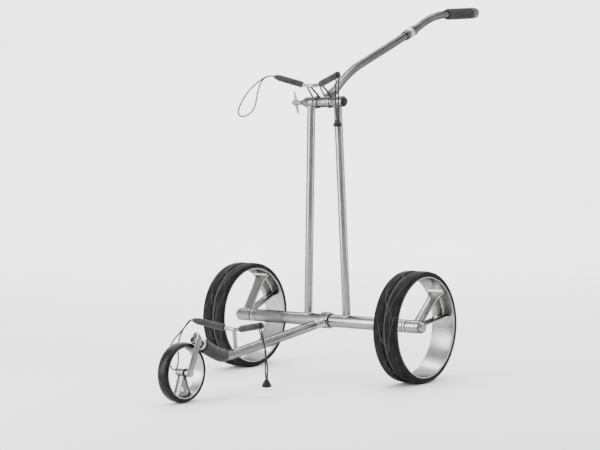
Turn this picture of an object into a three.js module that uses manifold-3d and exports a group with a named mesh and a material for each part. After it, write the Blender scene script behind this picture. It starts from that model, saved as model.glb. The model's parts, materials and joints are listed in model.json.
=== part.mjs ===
// A three-wheeled electric golf trolley with a tube frame: two rear wheels on a thick axle tube that
// hides the motors, a single front wheel on a one-sided fork, two uprights, a folding handle with a
// speed dial, and an upper and a lower padded bracket with shock cords that hold the golf bag.
//
// Millimetres. X is across the trolley (+X is its left side), the handle points to +Y and +Z is up.
// The parts are laid out from the rear axle, and the whole group is then moved along Y so that the
// origin is on the ground at the middle of the trolley's length.

import * as THREE from 'three';
import { mergeVertices } from 'three/addons/utils/BufferGeometryUtils.js';
import Module from 'manifold-3d';

const wasm = await Module();
wasm.setup();

// ---------------------------------------------------------------- driving dimensions
const GAP = 0.3; // between faces that touch
const ORIGIN_FROM_AXLE = 48.8; // how far behind the rear axle the middle of the length is

const REAR_RADIUS = 145;
const TRACK = 573;
const TYRE_HALF_WIDTH = 34.5;
const TREAD_HALF_WIDTH = 8; // the flat middle of the rear tread
const SHOULDER_RADIUS = 143.3;
const RIM_OUTER = 130.5;
const RIM_INNER = 128;
const REAR_SIDES = 40;

const AXLE_RADIUS = 17;
const AXLE_INNER = 15.5;
const AXLE_HALF = 252;
const HUB_START = 262;
const HUB_END = 314.5;
const RELEASE_RING = [253.3, 258.8]; // it slides 3 mm outwards before it meets the hub
const SHAFT_RADIUS = 4.8;

const SPOKE_PLATE = 4;
const SPOKE_HALF_WIDTH = 15;
const SPOKE_FOOT_HALF_WIDTH = 22;
const SPOKE_SPREAD = 16.4; // degrees between a leg and the middle of the V
const SPOKE_FOOT = 13; // where the legs leave the hub's middle, and how far apart they are there
const SPOKE_FOOT_APART = 4;
const WEB_RADIUS = 88; // where the web between the legs starts
const LEFT_SPOKE_ANGLE = 24; // degrees above the level, towards the rear
const RIGHT_SPOKE_ANGLE = 39;

const UPRIGHT_RADIUS = 11;
const UPRIGHT_INNER = 9.8;
const UPRIGHT_FOOT_X = 65.1;
const UPRIGHT_TOP_X = 44;
const CLAMP_Y = -4;
const CLAMP_Z = 730;
const CLAMP_RADIUS = 14.5;
const CLAMP_INNER = 12.6;
const CLAMP_CENTRE_HALF = 30.6;
const CLAMP_LEFT_END = 66;
const CLAMP_RIGHT_END = 55.6;
const BOLT_RADIUS = 5;

const HANDLE_RADIUS = 11.2;
const HANDLE_INNER = 10.2;
const SWIVEL_Y = 379; // the lower tube's end
const SWIVEL_Z = 920.3;
const SWIVEL_SLOPE = 21.9; // degrees
const SPIGOT_RADIUS = 9.3; // the part of the upper tube that turns inside the lower one
const COLLAR_RADIUS = 14.4;
const GRIP_Y = 591;
const GRIP_Z = 991.6;
const GRIP_SLOPE = 4.3;
const GRIP_RADIUS = 17;
const GRIP_LENGTH = 130;

const CRADLE_BAR_RADIUS = 4.8;
const STRUT_X = 21;
const STRUT_RADIUS = 2.8;
const PAD_RADIUS = 8.8;
const PAD_BORE = 5.6;
const CORD_RADIUS = 2;

const COLLAR_RING_RADIUS = 22; // the ring of the front frame that turns on the axle tube
const FRONT_SLOPE = 7.05; // degrees that the main tube falls towards the front
const FRONT_RADIUS = 12.5;
const FRONT_INNER = 11;
const FRONT_TUBE_START = 61.2; // along the main tube, from the axle's centre
const SLEEVE_RADIUS = 16.8;

const FRONT_WHEEL_Y = -582;
const FRONT_WHEEL_RADIUS = 73.5;
const FRONT_SIDES = 32;
const FRONT_RIM_OUTER = 63;
const FRONT_RIM_INNER = 60.8;
const FRONT_RIM_HALF = 14.6;
const FRONT_SPOKE_HALF_WIDTH = 10;
const FRONT_SPOKE_SPREAD = 20; // degrees
const FORK_X = 26;
const NOSE_SLOPE = 26.8; // degrees that the nose rises towards the front

const ROUND = 16; // sides on most turned pieces

// ---------------------------------------------------------------- materials
const steel = (tone = 0xa9a8a0) =>
  new THREE.MeshStandardMaterial({ color: tone, roughness: 0.35, metalness: 1 });
const rubber = (tone = 0x2a2a2a) =>
  new THREE.MeshStandardMaterial({ color: tone, roughness: 0.8, metalness: 0 });
const foam = () => new THREE.MeshStandardMaterial({ color: 0x4a4a4b, roughness: 0.95, metalness: 0 });
const plastic = () => new THREE.MeshStandardMaterial({ color: 0x151515, roughness: 0.45, metalness: 0 });
const cordage = () => new THREE.MeshStandardMaterial({ color: 0x242424, roughness: 0.9, metalness: 0 });

// ---------------------------------------------------------------- shape helpers
const radians = THREE.MathUtils.degToRad;
const yz = (y, z) => new THREE.Vector3(0, y, z);
const xyz = (x, y, z) => new THREE.Vector3(x, y, z);

// A solid of revolution about Y from [radius, along] pairs. Its ends are on the axis, or it closes
// on itself.
function turned(profile, sides = ROUND) {
  const points = profile.map(([radius, along]) => new THREE.Vector2(radius, along));
  if (THREE.ShapeUtils.area(points) < 0) points.reverse();
  const hollow = profile.every(([radius]) => radius > 0);
  if (hollow) points.push(points[0].clone());
  return new THREE.LatheGeometry(points, sides);
}

// The same about X, with a flat facet straight down.
function turnedAcross(profile, sides = ROUND) {
  return turned(profile, sides).rotateZ(-Math.PI / 2).rotateX(Math.PI / sides);
}

const rod = (radius, start, end) => [[0, start], [radius, start], [radius, end], [0, end]];
const ring = (outer, inner, start, end) => [[inner, start], [outer, start], [outer, end], [inner, end]];

// The same shape between two points.
function between(geometry, from, to) {
  const direction = to.clone().sub(from).normalize();
  const turn = new THREE.Quaternion().setFromUnitVectors(new THREE.Vector3(0, 1, 0), direction);
  return geometry.applyQuaternion(turn).translate(from.x, from.y, from.z);
}

function ellipse(wide, high, sides) {
  return Array.from({ length: sides }, (_, i) => {
    const angle = (2 * Math.PI * i) / sides;
    return new THREE.Vector2(wide * Math.cos(angle), high * Math.sin(angle));
  });
}

// A rod, or with an inner radius a tube, that follows a smooth line through the points.
function swept(points, radius, { inner = 0, high = radius, sides = 12, steps = 16 } = {}) {
  const section = new THREE.Shape(ellipse(radius, high, sides));
  if (inner) section.holes.push(new THREE.Path(ellipse(inner, inner, sides).reverse()));
  const extrudePath = new THREE.CatmullRomCurve3(points, false, 'centripetal');
  return new THREE.ExtrudeGeometry(section, { extrudePath, steps });
}

// A plate with the outline in Y and Z, standing across X from start to end.
function plate(outline, start, end) {
  const shape = new THREE.Shape(outline.map(([y, z]) => new THREE.Vector2(y, z)));
  const geometry = new THREE.ExtrudeGeometry(shape, { depth: end - start, bevelEnabled: false });
  return geometry.rotateY(Math.PI / 2).rotateX(Math.PI / 2).translate(start, 0, 0);
}

function solid(geometry) {
  const bare = geometry.clone();
  bare.deleteAttribute('normal');
  bare.deleteAttribute('uv');
  const merged = mergeVertices(bare, 1e-4);
  return new wasm.Manifold(new wasm.Mesh({
    numProp: 3,
    vertProperties: merged.attributes.position.array,
    triVerts: new Uint32Array(merged.index.array),
  }));
}

function geometryOf(made) {
  const { numProp, vertProperties, triVerts } = made.getMesh();
  const geometry = new THREE.BufferGeometry();
  const place = new Float32Array((vertProperties.length / numProp) * 3);
  for (let i = 0; i < place.length / 3; i++) {
    place.set(vertProperties.subarray(i * numProp, i * numProp + 3), 3 * i);
  }
  geometry.setAttribute('position', new THREE.BufferAttribute(place, 3));
  geometry.setIndex(Array.from(triVerts));
  geometry.computeVertexNormals();
  return geometry;
}

const joined = (...pieces) => geometryOf(pieces.map(solid).reduce((whole, next) => whole.add(next)));
const cut = (piece, ...tools) =>
  geometryOf(tools.map(solid).reduce((whole, tool) => whole.subtract(tool), solid(piece)));
const kept = (piece, limit) => geometryOf(solid(piece).intersect(solid(limit)));

// The largest separate piece of a cut.
function largest(geometry) {
  const pieces = solid(geometry).decompose();
  return geometryOf(pieces.reduce((best, piece) => (piece.volume() > best.volume() ? piece : best)));
}

function named(name, geometry, material) {
  const mesh = new THREE.Mesh(geometry, material);
  mesh.name = name;
  return mesh;
}

// A group whose Y axis runs along a slope in the plane of Y and Z.
function onSlope(y, z, degrees) {
  const group = new THREE.Group();
  group.position.set(0, y, z);
  group.rotation.x = radians(degrees);
  return group;
}

const trolley = new THREE.Group();
const SIDES = [{ side: 'left', s: 1 }, { side: 'right', s: -1 }];
// A profile along X for the left side, turned round for the right one.
const sided = (profile, s) => profile.map(([radius, along]) => [radius, s * along]);

// ---------------------------------------------------------------- axle tube with the drives
function makeAxle() {
  const axle = new THREE.Group();
  axle.position.z = REAR_RADIUS;
  const tube = ring(AXLE_RADIUS, AXLE_INNER, -AXLE_HALF, AXLE_HALF);
  axle.add(named('axle_tube', turnedAcross(tube, 32), steel()));
  for (const { side, s } of SIDES) {
    const motor = [[0, 140], [14.9, 140], [14.9, 226], [9, 226], [9, 233], [0, 233]];
    axle.add(named(`gear_motor_${side}`, turnedAcross(sided(motor, s)), steel(0x6f6f6f)));
    const bearing = ring(AXLE_INNER - GAP, SHAFT_RADIUS + GAP, 238, 250);
    axle.add(named(`axle_bearing_${side}`, turnedAcross(sided(bearing, s)), steel(0x8c8c8c)));
  }
  return axle;
}

// ---------------------------------------------------------------- uprights and the top clamp
function makeUprights() {
  const uprights = new THREE.Group();
  const wall = ring(UPRIGHT_RADIUS, UPRIGHT_INNER, 0, CLAMP_Z - REAR_RADIUS);
  const axleRoom = turnedAcross(rod(AXLE_RADIUS + GAP, -100, 100), 32).translate(0, 0, REAR_RADIUS);
  const clampRoom = turnedAcross(rod(CLAMP_RADIUS + GAP, -100, 100)).translate(0, CLAMP_Y, CLAMP_Z);
  for (const { side, s } of SIDES) {
    const foot = xyz(s * UPRIGHT_FOOT_X, 0, REAR_RADIUS);
    const top = xyz(s * UPRIGHT_TOP_X, CLAMP_Y / 2, CLAMP_Z);
    const tube = between(turned(wall), foot, top);
    uprights.add(named(`upright_${side}`, cut(tube, axleRoom, clampRoom), steel()));
  }
  return uprights;
}

function makeClamp() {
  const clamp = new THREE.Group();
  clamp.position.set(0, CLAMP_Y, CLAMP_Z);
  const sleeve = (start, end) => turnedAcross(ring(CLAMP_RADIUS, CLAMP_INNER, start, end));
  const edge = CLAMP_CENTRE_HALF + GAP;
  clamp.add(named('clamp_sleeve_left', sleeve(edge, CLAMP_LEFT_END), steel()));
  clamp.add(named('clamp_sleeve_right', sleeve(-CLAMP_RIGHT_END, -edge), steel()));
  clamp.add(named('clamp_sleeve_centre', sleeve(-CLAMP_CENTRE_HALF, CLAMP_CENTRE_HALF), steel()));

  const bore = BOLT_RADIUS + GAP;
  const cap = [[0, 69.2], [bore, 69.2], [bore, 66.4], [10.6, 66.4], [11, 68], [10.4, 71], [7, 72.6], [0, 73]];
  clamp.add(named('clamp_cap', turnedAcross(cap), plastic()));

  // The wing screw: its bolt runs through all three sleeves and its cone closes the right end.
  const screw = [
    [0, 68.8], [BOLT_RADIUS, 68.8], [BOLT_RADIUS, -56], [CLAMP_RADIUS, -56],
    [13.8, -60], [7, -71], [6, -74], [6, -105], [4.5, -106.5], [0, -106.5],
  ];
  // The blade tapers to its two ends.
  const blade = new THREE.Shape([[-31, -1.4], [0, -4], [31, -1.4], [31, 1.4], [0, 4], [-31, 1.4]]
    .map(([along, across]) => new THREE.Vector2(across, along)));
  const wingBlade = new THREE.ExtrudeGeometry(blade, { depth: 5, bevelEnabled: false })
    .translate(0, 0, -2.5).rotateX(Math.PI / 2).rotateY(radians(-12)).translate(-94.5, 0, 0);
  clamp.add(named('wing_screw', joined(turnedAcross(screw), wingBlade), steel(0x8f8f8a)));
  return clamp;
}

// ---------------------------------------------------------------- rear wheels
// One V-shaped spoke: two flat legs that flare at the rim, and a web between their outer halves.
function spokeGeometry(s, angle) {
  const middle = (s * TRACK) / 2;
  const hub = [
    [0, 299], [SHAFT_RADIUS + GAP, 299], [SHAFT_RADIUS + GAP, HUB_START], [AXLE_RADIUS, HUB_START],
    [AXLE_RADIUS, 303], [15.6, 308.5], [11, 312.8], [0, HUB_END],
  ];
  const legOutline = [
    [0, -SPOKE_HALF_WIDTH], [88, -SPOKE_HALF_WIDTH], [118, -SPOKE_FOOT_HALF_WIDTH],
    [118, SPOKE_FOOT_HALF_WIDTH], [88, SPOKE_HALF_WIDTH], [0, SPOKE_HALF_WIDTH],
  ].map(([along, across]) => new THREE.Vector2(across, along));
  const legs = [-1, 1].map((turn) => {
    const leg = new THREE.ExtrudeGeometry(new THREE.Shape(legOutline), {
      depth: SPOKE_PLATE, bevelEnabled: false,
    });
    // The leg's length is along Y, its width across X and its thickness along Z.
    leg.translate(0, 0, -SPOKE_PLATE / 2).rotateX(radians(turn * SPOKE_SPREAD));
    return leg.translate(middle, SPOKE_FOOT, turn * SPOKE_FOOT_APART);
  });
  const reach = RIM_INNER + 4;
  const rise = (radius) => (radius - SPOKE_FOOT) * Math.tan(radians(SPOKE_SPREAD)) + SPOKE_FOOT_APART;
  const webOutline = [
    [WEB_RADIUS, -rise(WEB_RADIUS)], [reach, -rise(reach)], [reach, rise(reach)],
    [WEB_RADIUS, rise(WEB_RADIUS)], [WEB_RADIUS + 5, 0],
  ];
  const web = plate(webOutline, middle - 1.5, middle + 1.5);
  const rimRoom = turnedAcross(rod(RIM_INNER - 2 * GAP, -40, 40), REAR_SIDES).translate(middle, 0, 0);
  const arms = kept(joined(...legs, web), rimRoom);
  const bore = turnedAcross(sided(rod(SHAFT_RADIUS + GAP, HUB_START - 20, 299), s));
  return joined(cut(arms, bore), turnedAcross(sided(hub, s))).rotateX(radians(angle));
}

function makeRearWheel({ side, s }, angle) {
  const wheel = new THREE.Group();
  wheel.position.z = REAR_RADIUS;
  const middle = (s * TRACK) / 2;
  const outer = REAR_RADIUS / Math.cos(Math.PI / REAR_SIDES);
  const tyre = [
    [RIM_OUTER + GAP, -TYRE_HALF_WIDTH], [SHOULDER_RADIUS - 3, -TYRE_HALF_WIDTH],
    [SHOULDER_RADIUS, -TYRE_HALF_WIDTH + 3], [outer, -TREAD_HALF_WIDTH], [outer, TREAD_HALF_WIDTH],
    [SHOULDER_RADIUS, TYRE_HALF_WIDTH - 3], [SHOULDER_RADIUS - 3, TYRE_HALF_WIDTH],
    [RIM_OUTER + GAP, TYRE_HALF_WIDTH],
  ];
  const rim = ring(RIM_OUTER, RIM_INNER, -TYRE_HALF_WIDTH, TYRE_HALF_WIDTH);
  const place = (geometry) => geometry.translate(middle, 0, 0);
  wheel.add(named(`rear_tyre_${side}`, place(turnedAcross(tyre, REAR_SIDES)), rubber()));
  wheel.add(named(`rear_rim_${side}`, place(turnedAcross(rim, REAR_SIDES)), steel(0xb9b9b4)));
  wheel.add(named(`rear_spoke_${side}`, spokeGeometry(s, angle), steel()));
  const shaft = turnedAcross(sided(rod(SHAFT_RADIUS, 234, 298.6), s), 16);
  wheel.add(named(`drive_shaft_${side}`, shaft, steel(0x7b7b7b)));
  const release = ring(AXLE_RADIUS, SHAFT_RADIUS + GAP, ...RELEASE_RING);
  wheel.add(named(`release_ring_${side}`, turnedAcross(sided(release, s)), steel(0x9a9a95)));
  return wheel;
}

// ---------------------------------------------------------------- bag brackets and shock cords
// Both brackets are a round bar in a shallow V, with a foam pad and an end cap on each arm. The left
// caps are long and round, because the strands of the knobbed cords come out of their undersides, and
// the right ones are small cones that end where the looped cords come out.
const CAP_LENGTH = { left: 19, right: 11 };
const CAP_RADIUS = 9.2;

function addPads(group, place, inner, tip) {
  for (const { side, s } of SIDES) {
    const from = xyz(s * inner.x, inner.y, inner.z);
    const to = xyz(s * tip.x, tip.y, tip.z);
    const length = from.distanceTo(to);
    const padEnd = length - CAP_LENGTH[side];
    const pad = [
      [PAD_BORE, 0], [PAD_RADIUS - 2, 0], [PAD_RADIUS, 2.5], [PAD_RADIUS, padEnd - GAP],
      [PAD_BORE, padEnd - GAP],
    ];
    const leftCap = [
      [0, length - 2.5], [PAD_BORE, length - 2.5], [PAD_BORE, padEnd], [CAP_RADIUS, padEnd],
      [CAP_RADIUS, length - 4.2], [CAP_RADIUS - 1.6, length - 1.2], [CAP_RADIUS - 4.5, length], [0, length],
    ];
    const rightCap = [[0, padEnd], [7.4, padEnd], [7, padEnd + 2], [5.6, length - 2], [5, length], [0, length]];
    const cap = side === 'left' ? leftCap : rightCap;
    group.add(named(`${place}_pad_${side}`, between(turned(pad, 16), from, to), foam()));
    group.add(named(`${place}_pad_cap_${side}`, between(turned(cap, 16), from, to), plastic()));
  }
}

// The bar's line from the left cap to the end of the right pad, through a rounded middle.
function barLine(middle, inner, tip) {
  const arm = (...shares) => shares.map((share) => inner.clone().lerp(tip, share));
  const right = arm(0, 0.2, 0.45, 0.7, 0.84).map((point) => xyz(-point.x, point.y, point.z));
  return [...arm(0.95, 0.7, 0.45, 0.2, 0), middle, ...right];
}

const UPPER_INNER = xyz(29.2, -57, 775.6);
const UPPER_TIP = xyz(107, -80, 799.2);
const UPPER_MIDDLE = yz(-50.5, 772.5);
const LOWER_INNER = xyz(25.6, -391, 161.3);
const LOWER_TIP = xyz(113.3, -412.8, 178);
const LOWER_MIDDLE = yz(-386, 158.5);

const cord = (name, points, steps) =>
  named(name, swept(points, CORD_RADIUS, { sides: 8, steps }), cordage());

// A bead that the cord is pulled by: a round-shouldered cone, with its flat end down.
function knob(name, x, y, top) {
  const bead = [[0, -20], [10.5, -20], [12.5, -16.5], [11, -12], [5.2, -1.2], [4.4, 0], [0, 0]];
  return named(name, turned(bead, 16).rotateX(Math.PI / 2).translate(x, y, top), plastic());
}

function makeUpperBracket() {
  const bracket = new THREE.Group();
  const line = barLine(UPPER_MIDDLE, UPPER_INNER, UPPER_TIP);
  const bar = swept(line, CRADLE_BAR_RADIUS, { sides: 8, steps: 18 });
  bracket.add(named('upper_bracket_bar', bar, steel()));
  addPads(bracket, 'upper', UPPER_INNER, UPPER_TIP);

  // Each strut is a hairpin of rod that stands on a saddle ring round the clamp's middle sleeve.
  const saddle = ring(CLAMP_RADIUS + 2.6, CLAMP_RADIUS + GAP, -4.5, 4.5);
  const hairpin = [
    [-19, 737], [-31, 748.5], [-42, 761], [-46.6, 768.4], [-41, 772], [-30, 767], [-15, 757], [0, 746],
  ];
  for (const { side, s } of SIDES) {
    const x = s * STRUT_X;
    const path = hairpin.map(([y, z]) => xyz(x, y, z));
    const wire = swept(path, STRUT_RADIUS, { sides: 8, steps: 14 });
    const seat = turnedAcross(saddle).translate(x, CLAMP_Y, CLAMP_Z);
    const sleeve = turnedAcross(rod(CLAMP_RADIUS + GAP, -10, 10)).translate(x, CLAMP_Y, CLAMP_Z);
    bracket.add(named(`upper_strut_${side}`, cut(joined(wire, seat), sleeve), steel()));
  }
  return bracket;
}

// The right cords are loops that leave the cap's end and come back to it. The left ones hang as two
// strands that end in a knob.
const UPPER_LOOP = [
  [-107.5, -82.5, 799.5], [-114.5, -84, 801], [-123, -84.6, 800.9], [-133, -84.5, 798.6],
  [-144, -84.2, 794.6], [-156, -83.8, 788.8], [-169, -83.2, 781.8], [-182, -82.5, 773.6],
  [-195, -81.8, 763.8], [-207, -81, 752.8], [-218, -80.2, 741], [-227.5, -79.5, 728.5],
  [-234.5, -79, 715.5], [-236.5, -78.7, 705], [-232, -78.6, 697.5], [-222, -78.5, 694.8],
  [-209, -78.4, 696.8], [-197, -78.3, 702.3], [-186, -78.1, 711], [-178.5, -77.9, 722.5],
  [-174, -77.8, 736], [-171, -77.8, 750], [-166.5, -77.9, 763.5], [-160.5, -78.3, 776],
  [-153.3, -79, 787], [-144.8, -79.6, 794.6], [-133, -80, 799.4], [-123, -80.1, 801.2],
  [-115, -79.6, 800.9], [-108.8, -78.1, 799.5],
];
const LOWER_LOOP = [
  [-114, -415.2, 178.2], [-118.5, -416, 177.6], [-125, -416.4, 173.4], [-132, -416.2, 166.6],
  [-139.5, -415.8, 158.4], [-147, -415.2, 149], [-154, -414.6, 138.6], [-159.8, -414, 127],
  [-163.5, -413.4, 114], [-165.4, -412.8, 100], [-166.3, -412.3, 86], [-167, -411.9, 72],
  [-169, -411.6, 59], [-174.6, -411.4, 48.6], [-183, -411.3, 45], [-191, -411.2, 49],
  [-196.3, -411, 58.5], [-199.4, -410.7, 71], [-200, -410.3, 85], [-197.2, -409.9, 99],
  [-191, -409.6, 112], [-182, -409.4, 123.6], [-171, -409.2, 134], [-159.5, -409.2, 144],
  [-148.5, -409.3, 154], [-138.5, -409.5, 163.4], [-129.5, -409.8, 171.4], [-121.5, -410.3, 176.6],
  [-115, -410.9, 178.2],
];
const UPPER_OUTER_STRAND = [
  [105, -79.4, 788.6], [105.9, -79.6, 785], [106, -79.5, 778], [105.4, -79.2, 769],
  [104.9, -79, 759], [104.4, -78.8, 748], [103.8, -78.6, 736], [103.3, -78.4, 724],
  [102.9, -78.2, 712], [102.4, -78.1, 700], [101.9, -78, 690], [101.7, -78, 683.4],
];
const UPPER_INNER_STRAND = [
  [95.3, -76.6, 785.7], [95.6, -76.8, 781], [95, -77.1, 773], [94.3, -77.4, 764],
  [93.9, -77.6, 754], [93.8, -77.8, 742], [94.1, -78, 730], [94.8, -78, 718], [95.6, -78, 706],
  [96.7, -78, 695], [97.3, -78, 683.4],
];
const LOWER_OUTER_STRAND = [
  [110.2, -412, 167.7], [111.3, -412.3, 163], [113, -412.3, 156], [115.5, -412.2, 146],
  [118.4, -412, 134], [120.8, -411.8, 122], [122.8, -411.6, 110], [124.6, -411.4, 98],
  [126.4, -411.2, 86], [127.4, -411, 75], [127.2, -411, 64], [126.4, -411, 54],
  [126.2, -411, 46.4],
];
const LOWER_INNER_STRAND = [
  [100.7, -409.6, 165.9], [102.6, -409.2, 161], [106, -408.4, 153], [109.8, -407.6, 143],
  [113.4, -407.2, 132], [116.2, -407.2, 121], [118.2, -407.6, 110], [119.3, -408.4, 99],
  [119.8, -409.4, 88], [120.1, -410.4, 76], [120.6, -411, 65], [121.5, -411, 55],
  [121.8, -411, 46.4],
];
const points = (list) => list.map(([x, y, z]) => xyz(x, y, z));

function makeCords() {
  const cords = new THREE.Group();
  cords.add(
    cord('upper_cord_loop', points(UPPER_LOOP), 32),
    cord('lower_cord_loop', points(LOWER_LOOP), 32),
    cord('upper_cord_outer_strand', points(UPPER_OUTER_STRAND), 11),
    cord('upper_cord_inner_strand', points(UPPER_INNER_STRAND), 11),
    cord('lower_cord_outer_strand', points(LOWER_OUTER_STRAND), 11),
    cord('lower_cord_inner_strand', points(LOWER_INNER_STRAND), 11),
    knob('upper_cord_knob', 99.5, -78, 683),
    knob('lower_cord_knob', 124, -411, 46),
  );
  return cords;
}

// ---------------------------------------------------------------- handle
function makeHandle() {
  const handle = new THREE.Group();
  const lowerPath = [
    [2, 737], [36, 753.5], [60, 774], [86, 793], [130, 819.5], [200, 849], [290, 884.5], [335, 902.6],
  ].map(([y, z]) => yz(y, z));
  const swivel = yz(SWIVEL_Y, SWIVEL_Z);
  const clampRoom = turnedAcross(rod(CLAMP_RADIUS + GAP, -40, 40)).translate(0, CLAMP_Y, CLAMP_Z);
  const tube = swept([...lowerPath, swivel], HANDLE_RADIUS, { inner: HANDLE_INNER, steps: 13 });
  const collar = onSlope(SWIVEL_Y, SWIVEL_Z, SWIVEL_SLOPE);
  const slope = (geometry) => geometry.rotateX(radians(SWIVEL_SLOPE)).translate(0, SWIVEL_Y, SWIVEL_Z);
  const lowerCollar = slope(turned(ring(COLLAR_RADIUS, HANDLE_INNER, -2, 11)));
  handle.add(named('handle_tube_lower', cut(joined(tube, lowerCollar), clampRoom), steel()));

  const gusset = plate([[-9, 744], [48, 777], [26, 742]], -4, 4);
  const tubeRoom = swept([...lowerPath, swivel], HANDLE_RADIUS + GAP, { steps: 13 });
  const gussetPlate = cut(gusset, clampRoom, tubeRoom);
  handle.add(named('handle_gusset', largest(gussetPlate), steel(0x7d7d78)));

  const lock = ring(COLLAR_RADIUS + 0.6, HANDLE_INNER + GAP, 12.3, 30);
  collar.add(named('swivel_lock_ring', turned(lock), steel(0xc4c4c0)));
  handle.add(collar);

  const upperPath = [[424, 938.4], [455, 952.8], [481, 965], [507, 974.8], [533, 982.2], [560, 987.6]]
    .map(([y, z]) => yz(y, z));
  const gripAt = (along) => yz(
    GRIP_Y + along * Math.cos(radians(GRIP_SLOPE)),
    GRIP_Z + along * Math.sin(radians(GRIP_SLOPE)),
  );
  const upperLine = [...upperPath, gripAt(0), gripAt(40), gripAt(80)];
  const upperTube = swept(upperLine, HANDLE_RADIUS, { inner: HANDLE_INNER - 1, steps: 11 });
  const upperCollar = slope(turned(ring(COLLAR_RADIUS, SPIGOT_RADIUS - 1.2, 30.8, 52)));
  const spigot = slope(turned(ring(SPIGOT_RADIUS, SPIGOT_RADIUS - 1.2, -24, 32)));
  handle.add(named('handle_tube_upper', joined(upperTube, upperCollar, spigot), steel()));

  const grip = onSlope(GRIP_Y, GRIP_Z, GRIP_SLOPE);
  const bore = HANDLE_RADIUS + 2 * GAP;
  const sleeve = [
    [bore, 0], [13.2, 0], [GRIP_RADIUS, 11], [GRIP_RADIUS, GRIP_LENGTH], [bore, GRIP_LENGTH],
  ];
  grip.add(named('grip_sleeve', turned(sleeve), rubber(0x3a3a3b)));
  const inside = bore - 2 * GAP;
  const controller = [[0, 82], [inside, 82], [inside, 128], [5.6, 128], [5.6, 134.2], [0, 134.2]];
  grip.add(named('speed_controller', turned(controller), plastic()));
  const dial = [[6, 130.6], [17, 130.6], [17, 147], [12.5, 147], [12.5, 134.4], [6, 134.4]];
  grip.add(named('speed_dial', turned(dial), steel(0xc9c9c6)));
  const button = [
    [0, 136.2], [12.1, 136.2], [12.1, 149], [15.6, 149], [15.6, 159.5], [13.5, 161.5], [0, 161.5],
  ];
  grip.add(named('power_button', turned(button), plastic()));
  handle.add(grip);
  return handle;
}

// ---------------------------------------------------------------- front frame
const alongFront = (s) => yz(
  -s * Math.cos(radians(FRONT_SLOPE)),
  REAR_RADIUS - s * Math.sin(radians(FRONT_SLOPE)),
);
const NOSE_END = yz(-507, 131.9);
const NOSE = [[-412, 95.6], [-440, 99.8], [-468, 111.8]].map(([y, z]) => yz(y, z));

function makeFrontFrame() {
  const front = new THREE.Group();
  const intoFront = (geometry) =>
    geometry.rotateX(Math.PI + radians(FRONT_SLOPE)).translate(0, 0, REAR_RADIUS);

  // A ring that turns on the axle tube, with a spigot that runs through the nut into the main tube.
  const hoop = turnedAcross(ring(COLLAR_RING_RADIUS, AXLE_RADIUS + GAP, -13, 13), 32);
  const fitted = FRONT_INNER - 0.8;
  const spigot = turned([[0, 19], [8, 19], [8, 62], [fitted, 62], [fitted, 95], [0, 95]]);
  const collar = joined(hoop.translate(0, 0, REAR_RADIUS), intoFront(spigot));
  front.add(named('front_collar', collar, steel()));

  const nut = turned(ring(FRONT_RADIUS - 0.4, 8 + GAP, 23.2, FRONT_TUBE_START - 0.6));
  front.add(named('front_lock_nut', intoFront(nut), steel(0xb0b0aa)));

  const straight = [FRONT_TUBE_START, 160, 280, 375].map(alongFront);
  const line = [...straight, ...NOSE, NOSE_END];
  const tube = swept(line, FRONT_RADIUS, { inner: FRONT_INNER, steps: 16 });
  const tubeRoom = swept(line, FRONT_RADIUS + GAP, { steps: 16 });
  front.add(named('main_tube', tube, steel()));
  const nose = [yz(-423, 96.8), ...NOSE.slice(1), yz(-505.5, 131.1)];
  front.add(named('nose_sleeve', cut(swept(nose, SLEEVE_RADIUS, { steps: 9 }), tubeRoom), foam()));

  const postLine = [yz(-381, 100), yz(-381.8, 120), yz(-383.5, 140), yz(-386, 158)];
  const post = swept(postLine, 5.3, { sides: 10, steps: 4 });
  const barPath = barLine(LOWER_MIDDLE, LOWER_INNER, LOWER_TIP);
  const bar = swept(barPath, CRADLE_BAR_RADIUS, { sides: 8, steps: 18 });
  front.add(named('lower_bracket_bar', cut(joined(post, bar), tubeRoom), steel()));
  addPads(front, 'lower', LOWER_INNER, LOWER_TIP);

  const head = onSlope(NOSE_END.y, NOSE_END.z, 180 - NOSE_SLOPE);
  head.add(named('head_collar', turned(ring(14, 6.3, 0.6, 9)), steel(0xbdbdb8)));
  front.add(head);
  return front;
}

// ---------------------------------------------------------------- fork and front wheel
function makeFork() {
  const head = NOSE_END;
  const along = (s) => yz(
    head.y - s * Math.cos(radians(NOSE_SLOPE)),
    head.z + s * Math.sin(radians(NOSE_SLOPE)),
  );
  const pivot = between(turned(rod(6, 0, 21), 16), along(-9), along(12));
  const crown = between(turned(rod(11, 0, 8)), along(12), along(20));
  const stub = between(turned(rod(9.5, 0, 20)), along(18), along(38));
  const hollow = between(turned(rod(7.5, 0, 12)), along(30), along(42));
  const arm = swept([
    xyz(FORK_X, FRONT_WHEEL_Y, FRONT_WHEEL_RADIUS), xyz(FORK_X, -573, 93), xyz(FORK_X, -563, 115),
    xyz(FORK_X, -554, 136), xyz(25, -547.5, 148), xyz(19.5, -541, 157), xyz(11, -536, 160.5),
    xyz(3, -532, 156), xyz(0, -529, 147),
  ], 5, { high: 9, sides: 12, steps: 15 });
  const boss = turnedAcross(rod(9, 15, 31)).translate(0, FRONT_WHEEL_Y, FRONT_WHEEL_RADIUS);
  const axle = turnedAcross(rod(4, -15.5, 16), 16).translate(0, FRONT_WHEEL_Y, FRONT_WHEEL_RADIUS);
  return named('front_fork', cut(joined(arm, crown, stub, pivot, boss, axle), hollow), steel());
}

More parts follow.
